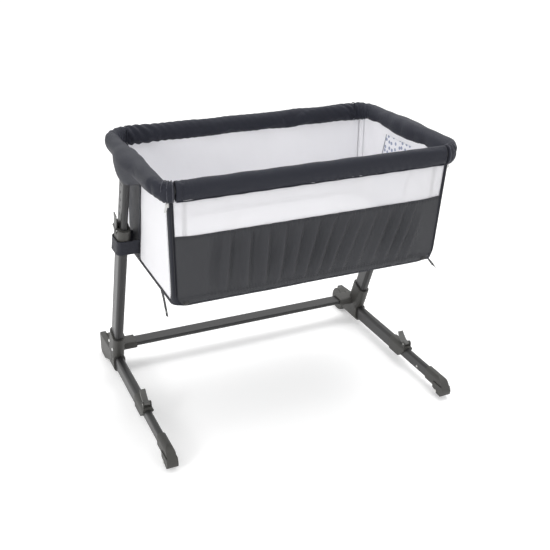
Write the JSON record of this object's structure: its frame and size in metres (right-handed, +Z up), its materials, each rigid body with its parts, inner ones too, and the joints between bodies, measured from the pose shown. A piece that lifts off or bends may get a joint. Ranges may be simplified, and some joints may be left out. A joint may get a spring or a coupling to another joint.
{
  "type": "bedside crib",
  "caption": "Bedside crib: fabric basket with a fold-down front side, on two slanted height-adjustable posts and a stand with sliding feet.",
  "frame": {"origin": "on the floor, midway between heels and toes of the feet and midway between the posts", "axes": "+X along the long side, -Y towards the side that drops (the bed), +Z up"},
  "size_m": [0.9776, 0.746, 0.845],
  "materials": {
    "tube": "satin",
    "moulding": "fine matt grain",
    "lever": "fine matt grain",
    "steel": "satin",
    "screw": "satin",
    "rubber": "matt",
    "roller": "satin",
    "padded_cloth": "woven, quilted",
    "dark_cloth": "woven",
    "mesh": "fine open mesh over lining",
    "print": "woven, small scattered dots",
    "mattress_cloth": "woven",
    "board": "hardboard"
  },
  "bodies": {
    "stand": {"left_base_housing": "moulding", "right_base_housing": "moulding", "cross_bar": "tube", "left_lower_post": "tube", "right_lower_post": "tube", "left_post_collar": "moulding", "right_post_collar": "moulding", "left_foot_tube": "tube", "right_foot_tube": "tube", "left_foot_clamp": "moulding", "right_foot_clamp": "moulding", "rear_foot_pads": "rubber", "housing_screws": "screw", "lever_pins": "steel"},
    "left_foot": {"left_foot_inner_tube": "tube", "left_foot_cap": "moulding", "left_roller_axle": "steel", "left_stop_rivet": "steel"},
    "right_foot": {"right_foot_inner_tube": "tube", "right_foot_cap": "moulding", "right_roller_axle": "steel", "right_stop_rivet": "steel"},
    "left_roller": {"left_front_roller": "roller"},
    "right_roller": {"right_front_roller": "roller"},
    "left_foot_clamp_lever": {"left_foot_lever": "lever"},
    "right_foot_clamp_lever": {"right_foot_lever": "lever"},
    "left_release_lever": {"left_height_lever": "lever"},
    "right_release_lever": {"right_height_lever": "lever"},
    "basket": {"left_upper_post": "tube", "right_upper_post": "tube", "left_post_head": "moulding", "right_post_head": "moulding", "rim_frame": "tube", "corner_sockets": "moulding", "floor_frame": "tube", "base_board": "board", "left_rim_cover": "padded_cloth", "right_rim_cover": "padded_cloth", "back_rim_cover": "padded_cloth", "left_end_panel": "mesh", "right_end_panel": "mesh", "end_strips": "dark_cloth", "lining_strips": "print", "back_panel": "mesh", "back_band": "dark_cloth", "corner_bindings": "dark_cloth", "bottom_cloth": "dark_cloth", "left_post_loop": "dark_cloth", "right_post_loop": "dark_cloth", "straps": "dark_cloth", "strap_snaps": "steel", "mattress": "mattress_cloth", "hinge_pins": "steel"},
    "drop_side": {"front_rail": "tube", "front_rail_cover": "padded_cloth", "front_mesh": "mesh", "front_band": "dark_cloth", "drop_side_stays": "tube"},
    "left_zip": {"left_zip_slider": "steel"},
    "right_zip": {"right_zip_slider": "steel"}
  },
  "joints": [
    {"name": "height_adjust", "type": "slide", "parent": "stand", "child": "basket", "axis": [0, -0.3543, 0.9351], "range_m": [-0.108, 0]},
    {"name": "drop_side_fold", "type": "hinge", "parent": "basket", "child": "drop_side", "pos_m": [0, -0.28937, 0.486], "axis": [1, 0, 0], "range_deg": [0, 165]},
    {"name": "left_foot_slide", "type": "slide", "parent": "stand", "child": "left_foot", "axis": [0, 1, 0], "range_m": [0, 0.11]},
    {"name": "left_roller_spin", "type": "hinge", "parent": "left_foot", "child": "left_roller", "pos_m": [-0.463, -0.337, 0.017], "axis": [1, 0, 0], "continuous": true},
    {"name": "left_foot_lever_turn", "type": "hinge", "parent": "stand", "child": "left_foot_clamp_lever", "pos_m": [-0.463, -0.128, 0.0805], "axis": [1, 0, 0], "range_deg": [0, 100]},
    {"name": "left_release_lever_press", "type": "hinge", "parent": "stand", "child": "left_release_lever", "pos_m": [-0.4845, 0.02349, 0.60392], "axis": [0, 0.9351, 0.3543], "range_deg": [0, 9], "stiffness_Nm_per_rad": 1, "springref_deg": -5.73},
    {"name": "left_zip_slide", "type": "slide", "parent": "basket", "child": "left_zip", "axis": [0.0294, 0.0618, -0.9977], "range_m": [0, 0.22]},
    {"name": "right_foot_slide", "type": "slide", "parent": "stand", "child": "right_foot", "axis": [0, 1, 0], "range_m": [0, 0.11]},
    {"name": "right_roller_spin", "type": "hinge", "parent": "right_foot", "child": "right_roller", "pos_m": [0.463, -0.337, 0.017], "axis": [1, 0, 0], "continuous": true},
    {"name": "right_foot_lever_turn", "type": "hinge", "parent": "stand", "child": "right_foot_clamp_lever", "pos_m": [0.463, -0.128, 0.0805], "axis": [1, 0, 0], "range_deg": [0, 100]},
    {"name": "right_release_lever_press", "type": "hinge", "parent": "stand", "child": "right_release_lever", "pos_m": [0.4845, 0.02349, 0.60392], "axis": [0, -0.9351, -0.3543], "range_deg": [0, 9], "stiffness_Nm_per_rad": 1, "springref_deg": -5.73},
    {"name": "right_zip_slide", "type": "slide", "parent": "basket", "child": "right_zip", "axis": [-0.0294, 0.0618, -0.9977], "range_m": [0, 0.22]}
  ]
}
